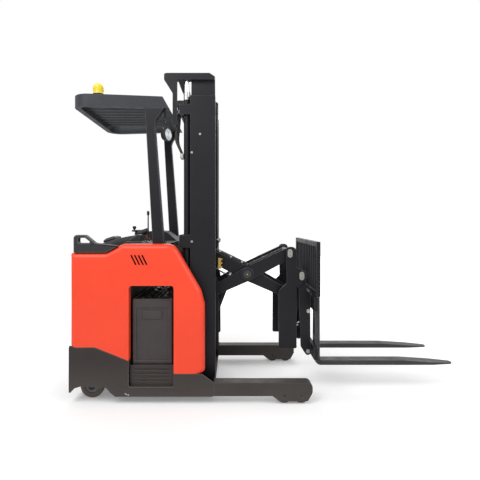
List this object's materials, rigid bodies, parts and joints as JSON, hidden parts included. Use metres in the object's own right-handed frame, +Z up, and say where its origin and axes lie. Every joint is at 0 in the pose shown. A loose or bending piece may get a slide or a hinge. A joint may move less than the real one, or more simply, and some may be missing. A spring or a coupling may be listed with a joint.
{
  "type": "pantograph reach truck",
  "caption": "Stand-up reach truck with a telescoping mast, a scissor reach linkage carrying tilting forks, straddle legs on load wheels, an overhead guard and a side-loaded battery.",
  "frame": {"origin": "on the floor, midway between the rear bumper and the fork tips and midway across the width", "axes": "+X forward along the forks, +Y to the left, +Z up"},
  "size_m": [2.98, 1.1, 2.502],
  "materials": {
    "base_paint": "dark grey textured paint",
    "body_paint": "orange red gloss paint",
    "mast_paint": "near-black satin paint",
    "guard_paint": "dark grey satin paint",
    "fork_steel": "worn black fork finish",
    "chrome": "chromed rod",
    "polyurethane": "cast polyurethane tread",
    "steel": "bare steel pins",
    "chain": "oiled leaf chain",
    "plastic": "dark grey moulded plastic",
    "pad": "black vinyl over foam",
    "mat_rubber": "black ribbed rubber",
    "battery_case": "dark grey battery case",
    "beacon": "yellow clear plastic",
    "lens": "clear lamp lens"
  },
  "bodies": {
    "chassis": {"base_frame": "base_paint", "leg_right": "base_paint", "leg_left": "base_paint", "load_wheel_axles": "steel", "drive_motor": "mast_paint", "side_panel_right": "body_paint", "side_panel_left": "body_paint", "bay_bulkheads": "base_paint", "battery": "battery_case", "battery_gates": "base_paint", "console": "plastic", "drive_pod": "plastic", "floor_mat": "mat_rubber", "lean_pad": "pad", "armrest": "pad", "grab_handle": "plastic", "control_handle": "plastic", "overhead_guard": "guard_paint", "guard_posts": "guard_paint", "beacon_base": "plastic", "beacon_lens": "beacon", "work_lamp": "plastic", "work_lamp_lens": "lens", "mast_outer": "mast_paint", "lift_barrels": "mast_paint"},
    "middle_stage": {"mast_middle": "mast_paint", "lift_rods": "chrome"},
    "inner_stage": {"mast_inner": "mast_paint", "lift_chain_front": "chain"},
    "reach_support": {"support_frame": "mast_paint"},
    "inner_arms": {"scissor_arm_inner": "mast_paint"},
    "outer_arms": {"scissor_arm_outer": "mast_paint"},
    "reach_front": {"front_frame": "mast_paint", "tilt_cylinder_barrel": "mast_paint"},
    "carriage": {"fork_carriage": "mast_paint", "fork_right": "fork_steel", "fork_left": "fork_steel", "load_backrest": "mast_paint"},
    "reach_barrel": {"reach_cylinder_barrel": "mast_paint"},
    "reach_rod": {"reach_cylinder_rod": "chrome"},
    "tilt_rod": {"tilt_cylinder_rod": "chrome"},
    "drive_turntable": {"drive_unit": "mast_paint"},
    "drive_wheel": {"drive_wheel": "polyurethane"},
    "caster_swivel": {"caster_fork": "mast_paint"},
    "caster_wheel": {"caster_wheel": "polyurethane"},
    "tiller": {"steer_tiller": "plastic"},
    "load_wheel_right_rear": {"load_wheel_right_rear": "polyurethane"},
    "load_wheel_right_front": {"load_wheel_right_front": "polyurethane"},
    "load_wheel_left_rear": {"load_wheel_left_rear": "polyurethane"},
    "load_wheel_left_front": {"load_wheel_left_front": "polyurethane"}
  },
  "joints": [
    {"name": "lift", "type": "slide", "parent": "chassis", "child": "middle_stage", "axis": [0, 0, 1], "range_m": [-0.055, 1.7]},
    {"name": "inner_lift", "type": "slide", "parent": "middle_stage", "child": "inner_stage", "axis": [0, 0, 1], "range_m": [-0.055, 1.7]},
    {"name": "carriage_lift", "type": "slide", "parent": "inner_stage", "child": "reach_support", "axis": [0, 0, 1], "range_m": [-0.0363, 1.122], "deforming": ["lift_chain_front"]},
    {"name": "reach", "type": "hinge", "parent": "reach_support", "child": "inner_arms", "pos_m": [-0.499, 0, 1.097], "axis": [0, 1, 0], "range_deg": [0, 46]},
    {"name": "scissor_pivot", "type": "hinge", "parent": "inner_arms", "child": "outer_arms", "pos_m": [-0.158, 0, 0.926], "axis": [0, 1, 0], "range_deg": [-92, 0]},
    {"name": "front_pivot", "type": "hinge", "parent": "outer_arms", "child": "reach_front", "pos_m": [0.183, 0, 1.097], "axis": [0, 1, 0], "range_deg": [0, 46]},
    {"name": "fork_tilt", "type": "hinge", "parent": "reach_front", "child": "carriage", "pos_m": [0.278, 0, 0.916], "axis": [0, -1, 0], "range_deg": [-3, 4]},
    {"name": "tilt_rod_slide", "type": "slide", "parent": "reach_front", "child": "tilt_rod", "axis": [1, 0, 0], "range_m": [-0.02335, 0.03114]},
    {"name": "reach_barrel_pivot", "type": "hinge", "parent": "reach_support", "child": "reach_barrel", "pos_m": [-0.5, 0, 0.4], "axis": [0, 1, 0], "range_deg": [-11.63, 0]},
    {"name": "reach_rod_slide", "type": "slide", "parent": "reach_barrel", "child": "reach_rod", "axis": [0.3583, 0, 0.9336], "range_m": [-0.16193, 0]},
    {"name": "drive_steer", "type": "hinge", "parent": "chassis", "child": "drive_turntable", "pos_m": [-1.25, 0.285, 0.4], "axis": [0, 0, 1], "range_deg": [-90, 90]},
    {"name": "drive_spin", "type": "hinge", "parent": "drive_turntable", "child": "drive_wheel", "pos_m": [-1.25, 0.285, 0.15], "axis": [0, 1, 0], "continuous": true},
    {"name": "caster_swivel", "type": "hinge", "parent": "chassis", "child": "caster_swivel", "pos_m": [-1.325, -0.405, 0.2], "axis": [0, 0, 1], "continuous": true},
    {"name": "caster_spin", "type": "hinge", "parent": "caster_swivel", "child": "caster_wheel", "pos_m": [-1.355, -0.405, 0.09], "axis": [0, 1, 0], "continuous": true},
    {"name": "tiller_turn", "type": "hinge", "parent": "chassis", "child": "tiller", "pos_m": [-1.14, 0.25, 1.262], "axis": [0, 0, 1], "continuous": true},
    {"name": "load_wheel_right_rear_spin", "type": "hinge", "parent": "chassis", "child": "load_wheel_right_rear", "pos_m": [0.108, -0.495, 0.06], "axis": [0, 1, 0], "continuous": true},
    {"name": "load_wheel_right_front_spin", "type": "hinge", "parent": "chassis", "child": "load_wheel_right_front", "pos_m": [0.234, -0.495, 0.06], "axis": [0, 1, 0], "continuous": true},
    {"name": "load_wheel_left_rear_spin", "type": "hinge", "parent": "chassis", "child": "load_wheel_left_rear", "pos_m": [0.108, 0.495, 0.06], "axis": [0, 1, 0], "continuous": true},
    {"name": "load_wheel_left_front_spin", "type": "hinge", "parent": "chassis", "child": "load_wheel_left_front", "pos_m": [0.234, 0.495, 0.06], "axis": [0, 1, 0], "continuous": true}
  ],
  "couplings": [
    {"joint": "inner_lift", "follows": "lift", "ratio": 1},
    {"joint": "carriage_lift", "follows": "lift", "ratio": 0.66},
    {"joint": "scissor_pivot", "follows": "reach", "ratio": -2},
    {"joint": "front_pivot", "follows": "reach", "ratio": 1},
    {"joint": "reach_barrel_pivot", "follows": "reach", "ratio": -0.25275},
    {"joint": "reach_rod_slide", "follows": "reach", "m_per_rad": -0.2017},
    {"joint": "tilt_rod_slide", "follows": "fork_tilt", "m_per_rad": 0.446}
  ]
}
